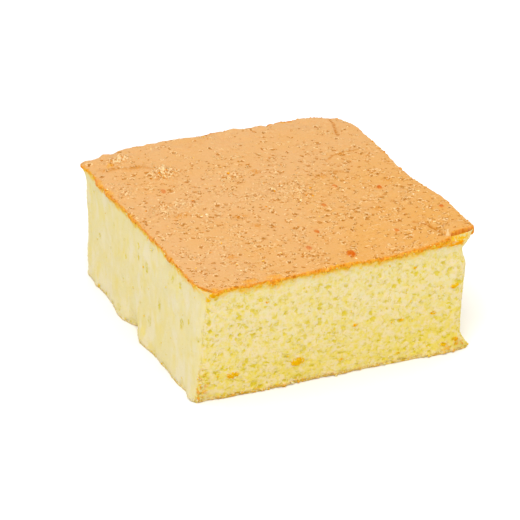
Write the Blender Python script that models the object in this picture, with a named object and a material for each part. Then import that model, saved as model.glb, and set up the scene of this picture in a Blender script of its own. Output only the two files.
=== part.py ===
"""A square block of sponge cheesecake, cut from a tray bake, with a browned skin on top.

The cake is one piece, so it is one closed solid. It starts as a cube primitive cut into
a grid. The functions below then place each point of the grid: first on a block with
rounded edges, then shifted by the lean of the knife cuts, by the places where a wall
stands out or falls in, and by the risen and sunk places of the top.

The block stands on the XY plane. Its front, the cut that shows the open crumb, faces
-Y, and its length runs along Y. The origin is the middle of its base.
"""

import math

import bmesh
import bpy
from mathutils import Vector, noise

MM = 0.001

# Driving dimensions
WIDTH = 100 * MM
LENGTH = 104.5 * MM
HEIGHT = 43.2 * MM

# Rounding of the edges
BASE_ROUND = 0.7 * MM
TOP_ROUND = 0.9 * MM
CORNER_ROUND = {
    "front left": 3.6 * MM,
    "front right": 2.2 * MM,
    "back left": 3.5 * MM,
    "back right": 13 * MM,
}

# How far the lean of the knife cuts moves each corner along X, Y and Z, mm
CORNER_SHIFT = {
    "front left": {"base": (-2.0, 3.4, 0.0), "top": (1.2, 0.3, 0.3)},
    "front right": {"base": (-2.4, -0.7, 0.0), "top": (-1.8, -0.4, 0.2)},
    "back left": {"base": (-1.4, 0.5, 0.0), "top": (-1.2, 1.0, 0.8)},
    "back right": {"base": (0.3, 0.5, 0.0), "top": (1.6, 1.4, 0.8)},
}

# Risen and sunk places of the top, mm: middle in X and Y, reach in X and Y, rise
TOP_SWELLS = (
    (-30, 46, 24, 22, 2.0),
    (-42, 14, 8, 14, -0.6),
    (4, 50, 22, 18, 0.9),
    (50, 54, 14, 14, -0.7),
    (0, 0, 34, 34, 0.7),
    (-32, -54, 12, 14, 0.6),
    (0, -54, 8, 12, 0.4),
    (24, -54, 13, 16, -0.2),
    (50, -30, 16, 16, 1.9),
    (52, -54, 13, 13, 3.4),
)

# Places where a wall stands out or falls in: side, then in mm the middle along the wall
# and its reach, the middle height and its reach, and the push outwards
WALL_SWELLS = (
    ("right", -30, 24, 44, 4, 3.6),
    ("right", 10, 30, 20, 14, -0.8),
    ("right", -54, 10, 44, 4, 1.8),
    ("right", -54, 5, 39, 1.3, 2.2),
    ("right", -50, 9, 1, 3, 2.9),
    ("right", -46, 14, 12, 6, -0.9),
    ("front", 44, 12, 1, 5, 0.8),
    ("front", -5, 34, 16, 12, 0.5),
    ("left", 34, 16, 42, 5, 0.9),
    ("left", 54, 7, 42, 4.5, 1.9),
    ("left", 32, 20, 1, 5, 0.7),
    ("left", -28, 20, 1, 5, 0.4),
    ("left", -5, 5, 1, 4, 2.2),
    ("left", 5, 4, 1, 4, -3.4),
    ("left", 13, 5, 1, 4, 1.5),
    ("back", -20, 26, 30, 14, 0.7),
    ("back", 26, 20, 8, 12, -0.7),
)

# The browned skin reaches out past the crumb, which is tucked in just under it
LIP_OUT = 0.5 * MM
LIP_REACH = 1.3 * MM
TUCK_IN = 0.4 * MM
TUCK_DEPTH = 4.2 * MM
TUCK_REACH = 2.4 * MM

# The tear under the lifted corner of the skin, at the front and right
TEAR_IN = 1.0 * MM
TEAR_DEPTH = 6.2 * MM
TEAR_REACH = 1.4 * MM
TEAR_LENGTH = 15 * MM

# Fine unevenness of the walls and the top
UNEVEN = 0.55 * MM
UNEVEN_SIZE = 13 * MM
TOP_UNEVEN = 0.45 * MM
TOP_UNEVEN_SIZE = 19 * MM
FOOT_UNEVEN = 0.9 * MM
FOOT_UNEVEN_SIZE = 6 * MM
FOOT_REACH = 4 * MM

# The grid: cells along X, Y and Z, and how far its lines crowd towards the edges
CELLS = (32, 32, 13)
CROWDING = 0.72

# The powers by which a push on a wall, and a rise of the top, die away further inside
WALL_PULL = 5
TOP_PULL = 3

SIDES = {
    "right": Vector((1, 0, 0)),
    "left": Vector((-1, 0, 0)),
    "front": Vector((0, -1, 0)),
    "back": Vector((0, 1, 0)),
}
HALF = (WIDTH / 2, LENGTH / 2)


def clear_scene():
    for thing in list(bpy.data.objects):
        bpy.data.objects.remove(thing, do_unlink=True)


def make_material(name, colour, roughness):
    material = bpy.data.materials.new(name)
    material.use_nodes = True
    shader = material.node_tree.nodes["Principled BSDF"]
    shader.inputs["Base Color"].default_value = (*colour, 1.0)
    shader.inputs["Roughness"].default_value = roughness
    shader.inputs["Metallic"].default_value = 0.0
    material.diffuse_color = (*colour, 1.0)
    return material


def gridded_cube():
    """A cube from -1 to 1 whose edges are cut into CELLS."""
    mesh = bmesh.new()
    bmesh.ops.create_cube(mesh, size=2.0)
    for axis, cells in enumerate(CELLS):
        along = [edge for edge in mesh.edges if edge.verts[0].co[axis] != edge.verts[1].co[axis]]
        bmesh.ops.subdivide_edges(mesh, edges=along, cuts=cells - 1, use_grid_fill=True)
    return mesh


def crowd(place):
    """Moves a grid line, at -1 to 1, nearer to the edge it lies by."""
    return (1 - CROWDING) * place + CROWDING * math.sin(place * math.pi / 2)


def rounded(a, b, radius):
    """Two distances in from two faces that meet, after their edge is rounded."""
    short_a = max(radius - a, 0.0)
    short_b = max(radius - b, 0.0)
    if short_a == 0.0 or short_b == 0.0:
        return a, b
    scale = max(short_a, short_b) / math.hypot(short_a, short_b)
    return radius - short_a * scale, radius - short_b * scale


def corner_name(x, y):
    return ("front " if y < 0 else "back ") + ("left" if x < 0 else "right")


def on_rounded_block(grid_point):
    """The place of a grid point on the straight block with rounded edges."""
    x, y, z = (crowd(value) for value in grid_point)
    in_x = HALF[0] * (1 - abs(x))
    in_y = HALF[1] * (1 - abs(y))
    height = HEIGHT * (z + 1) / 2
    inside = min(in_x, in_y)
    base_inside, low = rounded(inside, height, BASE_ROUND)
    top_inside, under_top = rounded(inside, HEIGHT - height, TOP_ROUND)
    if height < HEIGHT / 2:
        height = low
    else:
        height = HEIGHT - under_top
    inset = base_inside + top_inside - 2 * inside
    in_x, in_y = rounded(in_x, in_y, CORNER_ROUND[corner_name(x, y)])
    shrink = 1 - inset / HALF[0]
    return Vector((
        math.copysign(HALF[0] - in_x, x) * shrink,
        math.copysign(HALF[1] - in_y, y) * shrink,
        height,
    ))


def bell(distance, reach):
    """1 in the middle of a swell, falling smoothly to nothing past its reach."""
    return math.exp(-((distance / reach) ** 2))


def corner_lean(point):
    """The shifts of the eight corners, blended over the block."""
    right = (point.x / HALF[0] + 1) / 2
    back = (point.y / HALF[1] + 1) / 2
    up = point.z / HEIGHT
    total = Vector()
    for name, shifts in CORNER_SHIFT.items():
        share_x = right if "right" in name else 1 - right
        share_y = back if "back" in name else 1 - back
        shift = Vector(shifts["base"]).lerp(Vector(shifts["top"]), up)
        total += shift * (share_x * share_y * MM)
    return total


def top_rise(point):
    """How far the top stands above or below the straight block."""
    rise = TOP_UNEVEN * noise.noise(Vector((point.x, point.y, 0.0)) / TOP_UNEVEN_SIZE)
    for x, y, reach_x, reach_y, height in TOP_SWELLS:
        near_x = bell(point.x - x * MM, reach_x * MM)
        near_y = bell(point.y - y * MM, reach_y * MM)
        rise += height * MM * near_x * near_y
    return rise * (point.z / HEIGHT) ** TOP_PULL


def tear(point):
    """How deep the crumb is torn back under the lifted corner of the skin."""
    from_corner = math.hypot(point.x - HALF[0], point.y + HALF[1])
    depth = HEIGHT - point.z
    return TEAR_IN * bell(depth - TEAR_DEPTH, TEAR_REACH) * bell(from_corner, TEAR_LENGTH)


def wall_push(point, side):
    """How far one wall stands out at a point, past the straight block."""
    outward = SIDES[side]
    along = point.x if outward.y else point.y
    depth = HEIGHT - point.z
    push = LIP_OUT * bell(depth, LIP_REACH) - TUCK_IN * bell(depth - TUCK_DEPTH, TUCK_REACH)
    push += UNEVEN * noise.noise(point / UNEVEN_SIZE + outward)
    push += FOOT_UNEVEN * bell(point.z, FOOT_REACH) * noise.noise(point / FOOT_UNEVEN_SIZE)
    push -= tear(point)
    for where, middle, reach, height, height_reach, out in WALL_SWELLS:
        if where == side:
            near_middle = bell(along - middle * MM, reach * MM)
            near_height = bell(point.z - height * MM, height_reach * MM)
            push += out * MM * near_middle * near_height
    return push


def shaped(grid_point):
    """The place of a grid point on the finished cake."""
    straight = on_rounded_block(grid_point)
    point = straight + corner_lean(straight)
    point.z += top_rise(straight)
    for side, outward in SIDES.items():
        nearness = max(straight.x * outward.x / HALF[0], straight.y * outward.y / HALF[1], 0.0)
        point += outward * wall_push(straight, side) * nearness**WALL_PULL
    return point


def centre_on_base(mesh):
    """Moves the mesh so that the middle of its box's base is the origin."""
    xs = [vert.co.x for vert in mesh.verts]
    ys = [vert.co.y for vert in mesh.verts]
    middle = Vector(((min(xs) + max(xs)) / 2, (min(ys) + max(ys)) / 2, 0.0))
    bmesh.ops.translate(mesh, verts=mesh.verts, vec=-middle)


def join_flat_base(mesh):
    """Makes one face of the flat part of the base."""
    flat = [face for face in mesh.faces if all(vert.co.z == 0.0 for vert in face.verts)]
    bmesh.ops.dissolve_faces(mesh, faces=flat)


def make_cake(collection):
    mesh = gridded_cube()
    for face in mesh.faces:
        on_top = all(vert.co.z == 1.0 for vert in face.verts)
        face.material_index = 1 if on_top else 0
    for vert in mesh.verts:
        vert.co = shaped(vert.co)
    centre_on_base(mesh)
    join_flat_base(mesh)
    data = bpy.data.meshes.new("cheesecake")
    mesh.to_mesh(data)
    mesh.free()
    data.materials.append(make_material("crumb", (0.83, 0.69, 0.32), 0.85))
    data.materials.append(make_material("browned skin", (0.86, 0.48, 0.20), 0.6))
    data.shade_smooth()
    cake = bpy.data.objects.new("cheesecake", data)
    collection.objects.link(cake)


def main():
    clear_scene()
    collection = bpy.data.collections.new("cheesecake")
    bpy.context.scene.collection.children.link(collection)
    make_cake(collection)


main()
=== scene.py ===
# %% [markdown]
# # A square of sponge cheesecake
# Tray-baked sponge cheesecake is a pale, airy crumb under a thin browned skin. A knife
# has cut this square from the tray, so its sides show the open crumb with its pores,
# and its top is covered with the marks of bubbles that burst in the oven.
#
# The part's solid model gives the form of the block. This script keeps that form and
# adds what the eye sees: real relief in the crumb and in the skin, and their colours.

# %% Load the frame
import math

import bmesh
import bpy
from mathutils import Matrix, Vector


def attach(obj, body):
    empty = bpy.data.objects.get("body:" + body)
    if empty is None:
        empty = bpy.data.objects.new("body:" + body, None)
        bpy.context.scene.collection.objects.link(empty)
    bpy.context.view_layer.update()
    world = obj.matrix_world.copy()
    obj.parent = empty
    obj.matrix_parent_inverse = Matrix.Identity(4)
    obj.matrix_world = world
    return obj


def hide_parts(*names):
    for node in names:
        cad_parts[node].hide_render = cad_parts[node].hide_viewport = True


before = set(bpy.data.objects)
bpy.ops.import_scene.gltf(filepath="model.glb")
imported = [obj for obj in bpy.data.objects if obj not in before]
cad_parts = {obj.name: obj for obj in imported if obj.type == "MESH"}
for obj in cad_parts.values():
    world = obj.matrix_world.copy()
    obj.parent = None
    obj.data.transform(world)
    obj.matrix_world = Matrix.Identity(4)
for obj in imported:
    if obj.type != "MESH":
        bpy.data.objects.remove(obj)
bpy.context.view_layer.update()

MM = 0.001

# %% [markdown]
# ## The camera
# The cake is seen from a little above, with its left front corner nearest, through a
# long lens that hardly narrows what is further off. The camera looks at a point in the
# middle of the block. A small shift of the lens puts that point where it belongs.

# %% Camera
FRAME_PX = 520
FOCAL_PX = 3000
SENSOR_MM = 36
AZIMUTH = -24.34
ELEVATION = 28.4
DISTANCE = 1.052
AIM = Vector((0.0, 0.0, 22 * MM))
AIM_PX = Vector((273.3, 254.0))


def aimed(name, data, azimuth, elevation, distance):
    """A camera or lamp that looks at the cake's middle, from angles given in degrees."""
    azimuth, elevation = math.radians(azimuth), math.radians(elevation)
    back = Vector((
        math.sin(azimuth) * math.cos(elevation),
        -math.cos(azimuth) * math.cos(elevation),
        math.sin(elevation),
    ))
    thing = bpy.data.objects.new(name, data)
    thing.location = AIM + back * distance
    thing.rotation_euler = back.to_track_quat("Z", "Y").to_euler()
    bpy.context.scene.collection.objects.link(thing)
    return thing


def make_camera():
    data = bpy.data.cameras.new("camera")
    data.sensor_width = SENSOR_MM
    data.lens = FOCAL_PX / FRAME_PX * SENSOR_MM
    data.shift_x = (FRAME_PX / 2 - AIM_PX.x) / FRAME_PX
    data.shift_y = (AIM_PX.y - FRAME_PX / 2) / FRAME_PX
    return aimed("camera", data, AZIMUTH, ELEVATION, DISTANCE)


camera = make_camera()
bpy.context.scene.camera = camera
print("camera at", [round(value, 3) for value in camera.location])

# %% [markdown]
# ## Light and floor
# A high-key table shot: white light from all round, a soft lamp at the upper left that
# draws out the relief, and a white floor. The Standard view keeps whites white and the
# baked colours clear.

# %% Light and floor
SKY_STRENGTH = 1.0
FLOOR_SIZE = 6.0
FLOOR_WHITE = 0.95
KEY_PLACE = {"azimuth": -28, "elevation": 60, "distance": 1.4}
KEY_SIZE = 0.6
KEY_WATTS = 8


def make_lamp():
    data = bpy.data.lights.new("key lamp", "AREA")
    data.size = KEY_SIZE
    data.energy = KEY_WATTS
    aimed("key lamp", data, **KEY_PLACE)


def make_floor():
    mesh = bmesh.new()
    bmesh.ops.create_grid(mesh, x_segments=2, y_segments=2, size=FLOOR_SIZE / 2)
    data = bpy.data.meshes.new("floor")
    mesh.to_mesh(data)
    mesh.free()
    material = bpy.data.materials.new("white floor")
    material.use_nodes = True
    shader = material.node_tree.nodes["Principled BSDF"]
    shader.inputs["Base Color"].default_value = (FLOOR_WHITE, FLOOR_WHITE, FLOOR_WHITE, 1)
    shader.inputs["Roughness"].default_value = 0.9
    shader.inputs["Specular IOR Level"].default_value = 0.0
    data.materials.append(material)
    floor = bpy.data.objects.new("floor", data)
    bpy.context.scene.collection.objects.link(floor)


def set_sky():
    world = bpy.data.worlds.new("soft white studio")
    bpy.context.scene.world = world
    world.use_nodes = True
    sky = world.node_tree.nodes["Background"]
    sky.inputs["Color"].default_value = (1.0, 1.0, 1.0, 1)
    sky.inputs["Strength"].default_value = SKY_STRENGTH


bpy.context.scene.view_settings.view_transform = "Standard"
set_sky()
make_floor()
make_lamp()
print("light: sky", SKY_STRENGTH, "and one soft lamp")

# %% [markdown]
# ## A short way to write nodes
# Relief and colour are both made with node trees. Written out, each node takes several
# lines. The class below adds a node and links it in one call, and gives back the socket
# that holds the result, so that a tree reads like a formula.

# %% A recipe for nodes


class Recipe:
    """Adds nodes to one tree. Each method returns a socket with its result."""

    def __init__(self, tree):
        self.tree = tree

    def node(self, kind, inputs=None, **settings):
        made = self.tree.nodes.new(kind)
        for name, value in settings.items():
            setattr(made, name, value)
        for key, value in (inputs or {}).items():
            if isinstance(value, bpy.types.NodeSocket):
                self.tree.links.new(value, made.inputs[key])
            else:
                made.inputs[key].default_value = value
        return made

    def math(self, operation, *values, clamp=False):
        inputs = dict(enumerate(values))
        return self.node("ShaderNodeMath", inputs, operation=operation, use_clamp=clamp).outputs[0]

    def chain(self, operation, values):
        """One operation over all the values, from the first to the last."""
        result = values[0]
        for value in values[1:]:
            result = self.math(operation, result, value)
        return result

    def product(self, *values):
        return self.chain("MULTIPLY", values)

    def total(self, *values):
        return self.chain("ADD", values)

    def largest(self, *values):
        return self.chain("MAXIMUM", values)

    def line(self, value, slope, start):
        """start, and slope more for each 1 of the value."""
        return self.math("MULTIPLY_ADD", value, slope, start)

    def rest(self, value):
        """What a share leaves of 1."""
        return self.math("SUBTRACT", 1.0, value)

    def vector(self, operation, *values):
        return self.node("ShaderNodeVectorMath", dict(enumerate(values)), operation=operation).outputs[0]

    def scaled(self, vector, factor):
        inputs = {0: vector, "Scale": factor}
        return self.node("ShaderNodeVectorMath", inputs, operation="SCALE").outputs[0]

    def parts(self, vector):
        return self.node("ShaderNodeSeparateXYZ", {0: vector}).outputs

    def joined(self, x, y, z):
        return self.node("ShaderNodeCombineXYZ", {0: x, 1: y, 2: z}).outputs[0]

    def above_base(self, place):
        """The place, raised to the base where it would lie below it."""
        x, y, z = self.parts(place)
        return self.joined(x, y, self.largest(z, 0.0))

    def ramp(self, value, start, end, low=0.0, high=1.0):
        """low up to start, high from end on, and a smooth slope between."""
        inputs = {"Value": value, 1: start, 2: end, 3: low, 4: high}
        settings = {"interpolation_type": "SMOOTHSTEP", "clamp": True}
        return self.node("ShaderNodeMapRange", inputs, **settings).outputs[0]

    def hump(self, value, start, full, past, end):
        """0 up to start, 1 from full to past, and 0 again from end on."""
        return self.product(self.ramp(value, start, full), self.ramp(value, past, end, 1.0, 0.0))

    def noise(self, place, size, detail=2.0, rough=0.5):
        """Soft random values from 0 to 1, whose patches are about size across."""
        inputs = {"Vector": place, "Scale": 1 / size, "Detail": detail, "Roughness": rough}
        return self.node("ShaderNodeTexNoise", inputs).outputs[0]

    def swing(self, place, size, detail=2.0, rough=0.5, middle=0.5):
        """The same noise less its middle value, so that it goes both ways."""
        return self.math("SUBTRACT", self.noise(place, size, detail, rough), middle)

    def wander(self, place, size, far):
        """The place, moved up to about far by a noise, so that round things become uneven."""
        inputs = {"Vector": place, "Scale": 1 / size, "Detail": 1.0}
        colour = self.node("ShaderNodeTexNoise", inputs).outputs[1]
        shift = self.vector("SUBTRACT", colour, (0.5, 0.5, 0.5))
        return self.vector("ADD", place, self.scaled(shift, 2 * far))

    def cells(self, place, spacing, flat=False):
        """Scattered points: the distance to the nearest in spacings, and its random numbers."""
        dimensions = "2D" if flat else "3D"
        if isinstance(spacing, bpy.types.NodeSocket):
            scale = self.math("DIVIDE", 1.0, spacing)
        else:
            scale = 1 / spacing
        inputs = {"Vector": place, "Scale": scale}
        made = self.node("ShaderNodeTexVoronoi", inputs, voronoi_dimensions=dimensions)
        return made.outputs["Distance"], self.parts(made.outputs["Color"])

    def mixed(self, share, colour_a, colour_b):
        """Colour a, with a share of colour b mixed in."""
        made = self.node("ShaderNodeMix", data_type="RGBA")
        for key, value in ((0, share), (6, colour_a), (7, colour_b)):
            if isinstance(value, bpy.types.NodeSocket):
                self.tree.links.new(value, made.inputs[key])
            else:
                made.inputs[key].default_value = value
        return made.outputs[2]

    def painted(self, colour, *layers):
        """A colour with others laid over it in turn, each with its share."""
        for share, over in layers:
            colour = self.mixed(share, colour, over)
        return colour

    def kept(self, geometry, place, values):
        """Keeps the place and other values at each point, under names that can be read later."""
        for name, value in {"place": place, **values}.items():
            inputs = {"Geometry": geometry, "Name": name, "Value": value}
            kind = "FLOAT_VECTOR" if name == "place" else "FLOAT"
            settings = {"domain": "POINT", "data_type": kind}
            geometry = self.node("GeometryNodeStoreNamedAttribute", inputs, **settings).outputs[0]
        return geometry

    def moved(self, geometry, **where):
        """Moves the points by an Offset, or to a Position."""
        return self.node("GeometryNodeSetPosition", {"Geometry": geometry, **where}).outputs[0]

    def read(self, name, output):
        """In a material, a value that a geometry tree kept."""
        return self.node("ShaderNodeAttribute", attribute_name=name).outputs[output]

    def finish(self, geometry, given, end):
        """Ends a tree: instances become real, and the mesh gets the material Look."""
        real = self.node("GeometryNodeRealizeInstances", {0: geometry}).outputs[0]
        inputs = {"Geometry": real, "Material": given["Look"]}
        real = self.node("GeometryNodeSetMaterial", inputs).outputs[0]
        self.tree.links.new(real, end.inputs[0])


print("node recipe ready")

# %% [markdown]
# ## From the solid to fine meshes
# The solid model has faces a few millimetres wide. Pores and bubble marks are a tenth of
# that, so they need a mesh of their own. Blender's Remesh modifier lays an even net over
# any closed shape. Relief is then pushed into the net, and Decimate spends the triangles
# where the relief is and takes them from where it is flat.
#
# The helpers here copy the solid, run a stack of modifiers, and keep the result as a
# plain mesh.

# %% Helpers for meshes


def merged_cake():
    """The solid's mesh as a bmesh whose loose triangles are joined."""
    mesh = bmesh.new()
    mesh.from_mesh(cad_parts["cheesecake"].data)
    bmesh.ops.remove_doubles(mesh, verts=mesh.verts, dist=0.01 * MM)
    return mesh


def thing_from(mesh, name):
    data = bpy.data.meshes.new(name)
    mesh.to_mesh(data)
    mesh.free()
    thing = bpy.data.objects.new(name, data)
    bpy.context.scene.collection.objects.link(thing)
    return thing


def modifier(thing, kind, **settings):
    made = thing.modifiers.new(kind.lower(), kind)
    for name, value in settings.items():
        setattr(made, name, value)
    return made


def run_tree(thing, tree, **values):
    """Adds a geometry tree as a modifier and sets its inputs by their identifiers."""
    made = modifier(thing, "NODES", node_group=tree)
    for item in tree.interface.items_tree:
        if item.in_out == "INPUT" and item.name in values:
            made[item.identifier] = values[item.name]


def plain_mesh(thing):
    """What an object's modifiers make, as a mesh, and how many triangles it has."""
    graph = bpy.context.evaluated_depsgraph_get()
    data = bpy.data.meshes.new_from_object(thing.evaluated_get(graph))
    data.calc_loop_triangles()
    return data, len(data.loop_triangles)


def settled(thing, name, most):
    """Keeps what the modifiers make as a plain mesh of at most so many triangles."""
    data, count = plain_mesh(thing)
    thing.modifiers.clear()
    thing.data = data
    if count > most:
        modifier(thing, "DECIMATE", ratio=most / count)
        data, count = plain_mesh(thing)
    bpy.data.objects.remove(thing)
    data.name = name
    data.shade_smooth()
    made = bpy.data.objects.new(name, data)
    bpy.context.scene.collection.objects.link(made)
    print(name, "has", count, "triangles")
    return made


def new_tree(name, sizes, things=(), words=()):
    """A geometry tree with named inputs. Returns its recipe, its inputs and its output."""
    tree = bpy.data.node_groups.new(name, "GeometryNodeTree")
    tree.interface.new_socket("Geometry", in_out="INPUT", socket_type="NodeSocketGeometry")
    for size in sizes:
        tree.interface.new_socket(size, in_out="INPUT", socket_type="NodeSocketFloat")
    for thing in things:
        tree.interface.new_socket(thing, in_out="INPUT", socket_type="NodeSocketObject")
    for word in words:
        tree.interface.new_socket(word, in_out="INPUT", socket_type="NodeSocketString")
    tree.interface.new_socket("Look", in_out="INPUT", socket_type="NodeSocketMaterial")
    tree.interface.new_socket("Geometry", in_out="OUTPUT", socket_type="NodeSocketGeometry")
    recipe = Recipe(tree)
    start = recipe.node("NodeGroupInput")
    end = recipe.node("NodeGroupOutput")
    return recipe, start.outputs, end


print("mesh helpers ready")

# %% [markdown]
# ## Marks of burst bubbles
# In the oven the batter's last bubbles rise, burst and set. Each leaves a small crater
# with a thin pale rim. Where many burst together the skin dries into flakes, and the
# edges of the flakes brown more than the rest.
#
# A Voronoi texture scatters points at random and tells how far away the nearest one is,
# which is just what a field of round craters needs. The flakes' edges follow the level
# lines of a noise, which wind about like a coast on a map. The marks are written once, as
# a function of the place in plan. The geometry tree pushes the skin up and down by them,
# and the material colours it by the same marks, so that colour and relief agree.

# %% Where the skin is torn, creased or scorched
BUBBLES = 2.7 * MM
PINHOLES = 1.5 * MM
FLAKES = 2.6 * MM

# The flakes lie mostly one way: the angle of their length in plan, and how slim they are
FLAKE_TURN = math.radians(-24)
FLAKE_SLIMNESS = 1.45

# Torn zones, mm: middle in X and Y, reach in X and Y, strength
TORN_ZONES = (
    (-39.5, 46.5, 5, 3.2, 1),
    (-28, 31, 5, 4.5, 1),
    (-45, 25, 3.5, 5, 0.6),
    (-36, 8, 10, 4, 0.55),
    (-6, 22, 5, 4, 0.5),
    (38, 39, 3, 2.5, 0.5),
    (6, 4, 14, 9, 0.45),
    (-30, -26, 8, 7, 0.35),
)

# Creases, mm: the points they pass through in X and Y, width, height, how browned. The brown along a crease
# is partly browned skin and partly painted shade
CREASES = (
    (((-48, 43), (-40, 39.5), (-33, 36.6), (-27, 31.5)), 1.4, 0.4, 0.45),
    (((44.6, 50), (44.4, 45), (41.8, 36)), 0.9, -0.4, 0.9),
    (((29, 18.6), (33, 21.6), (38, 22.4), (43, 22.0)), 0.9, 0.25, 0.7),
    (((25, 11.6), (32.6, 8.3)), 1.5, 0.0, 0.7),
    (((36.5, -36), (39.2, -40), (40.4, -46), (41.0, -50)), 0.9, -0.4, 1.0),
)

# The notch beside the lifted corner, mm: middle in X and Y, reach in X and Y
NOTCH = (42.3, -50.6, 1.6, 1.0)

# The lifted corner in the same measures, how far its torn edge draws back, and how much
# lower the crumb lies under it
FLAP = (49, -52, 7.5, 6)
FLAP_BACK = 2.6 * MM
FLAP_LIFT = 0.9 * MM

# The front left corner of the skin has come off: its place in the same measures, and how
# far the sheet is pulled in there
LOST_CORNER = (-50, -51, 5, 5)
LOST_CORNER_SHIFT = (1.5 * MM, 1.1 * MM, 0.0)

# Orange lumps, mm: middle in X and Y, reach in X and Y. The first lies where the top is
# torn, and the others along the cut edge
LUMPS = (
    (-43.3, 44.4, 1.4, 0.9),
    (-22.9, -51, 2.8, 1.4),
    (-31.8, -51, 3, 1.2),
    (-44.7, -51.5, 1.6, 1.2),
    (-51.5, 36, 1.5, 3),
    (-51, 27, 1.5, 3.5),
    (-50.5, 8, 1.3, 3),
    (-50, -8, 1.1, 2),
    (-49.5, -24, 1.1, 2.5),
)

# Amber clusters on the top, mm: middle in X and Y, reach in X and Y
AMBER = (
    (-16.2, -8.2, 2.6, 2.2),
    (-13.5, -16.8, 2, 1.6),
    (-38, 10, 4, 2),
    (-34, 1, 3, 1.6),
    (2, 20, 2.4, 1.8),
    (22, 8, 2.4, 1.6),
    (30, -22, 2.4, 1.8),
    (42.4, -3, 1.8, 1.8),
    (-30, -33, 2.2, 1.8),
    (-40.5, 46, 3.6, 2.2),
    (-28, 29, 4.4, 2.2),
    (-44, 41.5, 3.4, 1.4),
    (-36, 38.2, 3.4, 1.4),
)

# Scorched spots, mm: X, Y, half width, strength. Each is longer along Y
SPOT_SLIMNESS = 1.5
SPOTS = (
    (7.4, -47, 1.6, 1),
    (37.4, -7.5, 0.9, 0.9),
    (23.3, -0.6, 0.9, 0.7),
    (13.6, -12.2, 0.9, 0.7),
    (49, -31.9, 0.8, 0.8),
    (28.6, -38.7, 0.9, 0.7),
    (3.5, -28.1, 1, 0.7),
    (-4.2, -38.1, 1.1, 0.7),
    (-33, 20, 1, 0.6),
)


def near_point(recipe, plan, x, y, reach_x, reach_y):
    """1 at a point, falling smoothly to 0 past its reach."""
    shift = recipe.vector("SUBTRACT", plan, (x * MM, y * MM, 0.0))
    shift = recipe.vector("DIVIDE", shift, (reach_x * MM, reach_y * MM, 1.0))
    far = recipe.node("ShaderNodeVectorMath", {0: shift}, operation="LENGTH").outputs["Value"]
    return recipe.ramp(far, 0.2, 1.6, 1.0, 0.0)


def near_any(recipe, plan, middles):
    """The most of this for several points, each of which may have a strength too."""
    most = 0.0
    for x, y, reach_x, reach_y, *strength in middles:
        here = recipe.product(near_point(recipe, plan, x, y, reach_x, reach_y), *strength)
        most = recipe.largest(most, here)
    return most


def near_line(recipe, plan, start, end, width):
    """1 on the line from start to end, falling smoothly to 0 at its width."""
    start, end = (Vector((x * MM, y * MM, 0.0)) for x, y in (start, end))
    run = end - start
    shift = recipe.vector("SUBTRACT", plan, start)
    inputs = {0: shift, 1: run / run.length_squared}
    along = recipe.node("ShaderNodeVectorMath", inputs, operation="DOT_PRODUCT").outputs["Value"]
    share = recipe.math("ADD", along, 0.0, clamp=True)
    off = recipe.vector("SUBTRACT", shift, recipe.scaled(run, share))
    far = recipe.node("ShaderNodeVectorMath", {0: off}, operation="LENGTH").outputs["Value"]
    return recipe.ramp(far, 0.0, width * MM, 1.0, 0.0)


print(len(TORN_ZONES), "torn zones,", len(CREASES), "creases and", len(SPOTS), "scorched spots")

# %% Marks of the skin, for relief and colour


def bubble_marks(recipe, along, plan, share):
    """Craters with their pale rims and the brown arcs round them, and pinholes."""
    distance, lots = recipe.cells(along, BUBBLES, flat=True)
    reach = recipe.line(recipe.product(lots[0], lots[0]), 0.24, 0.13)
    burst = recipe.math("LESS_THAN", lots[1], share)
    ratio = recipe.math("DIVIDE", distance, reach)
    broken = recipe.ramp(recipe.noise(plan, 1.5 * MM, 1.0), 0.42, 0.56)
    whole = recipe.rest(broken)
    sunk = recipe.math("LESS_THAN", lots[2], 0.7)
    # The hollow: sunk, and in the colour partly browned skin, partly painted shade in the crater
    hollow = recipe.product(recipe.ramp(ratio, 0.5, 0.95, 1.0, 0.0), burst, sunk)
    # The rim: in the colour partly dry pale skin, partly a painted highlight on the lit rim
    rim = recipe.product(recipe.hump(ratio, 0.6, 1.0, 1.2, 1.8), burst, broken)
    # The arc: in the colour partly browned skin, partly painted shade on the rim's outer flank
    arc = recipe.product(recipe.hump(ratio, 0.8, 1.1, 1.4, 1.8), burst, whole)
    distance, lots = recipe.cells(along, PINHOLES, flat=True)
    burst = recipe.math("LESS_THAN", lots[1], recipe.product(share, 0.25))
    reach = recipe.line(lots[0], 0.14, 0.16)
    pin = recipe.product(recipe.ramp(recipe.math("DIVIDE", distance, reach), 0.4, 1.2, 1.0, 0.0), burst)
    return hollow, rim, arc, pin


def flake_marks(recipe, along, plan, share, torn):
    """The brown edges of dried flakes, and their raised lips."""
    level = recipe.noise(along, FLAKES, 2.0, 0.6)
    here = recipe.product(recipe.ramp(recipe.noise(plan, 6 * MM), 0.45, 0.58), share)
    here = recipe.largest(here, torn)
    broken = recipe.ramp(recipe.noise(plan, 2.4 * MM, 1.0), 0.42, 0.52)
    off_edge = recipe.math("ABSOLUTE", recipe.math("SUBTRACT", level, 0.5))
    edge = recipe.product(recipe.ramp(off_edge, 0.0, 0.04, 1.0, 0.0), here, broken)
    lip = recipe.product(recipe.hump(level, 0.5, 0.55, 0.57, 0.64), here)
    return edge, lip


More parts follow.
